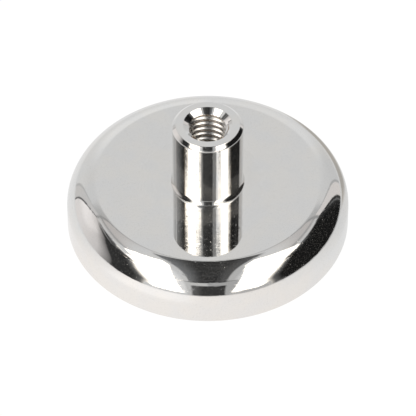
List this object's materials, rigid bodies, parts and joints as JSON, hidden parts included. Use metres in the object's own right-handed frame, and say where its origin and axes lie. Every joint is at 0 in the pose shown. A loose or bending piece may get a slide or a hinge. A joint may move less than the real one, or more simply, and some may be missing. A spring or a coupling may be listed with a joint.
{
  "type": "pot magnet",
  "caption": "Round nickel-plated pot magnet with a flat roof, a large rounded shoulder and a central bush with an internal thread.",
  "frame": {"origin": "centre of the holding face, on the axis, where the magnet meets what it holds", "axes": "+Z along the axis, from the holding face towards the mouth of the bush"},
  "size_m": [0.04, 0.04, 0.019],
  "materials": {
    "nickel_plate": "bright nickel plate on steel, mirror polished",
    "magnet_coat": "satin nickel coat on a sintered magnet",
    "resin": "cast epoxy resin, dull black"
  },
  "bodies": {
    "root": {"steel_cup": "nickel_plate", "threaded_bush": "nickel_plate", "disc_magnet": "magnet_coat", "epoxy_ring": "resin"}
  },
  "joints": []
}
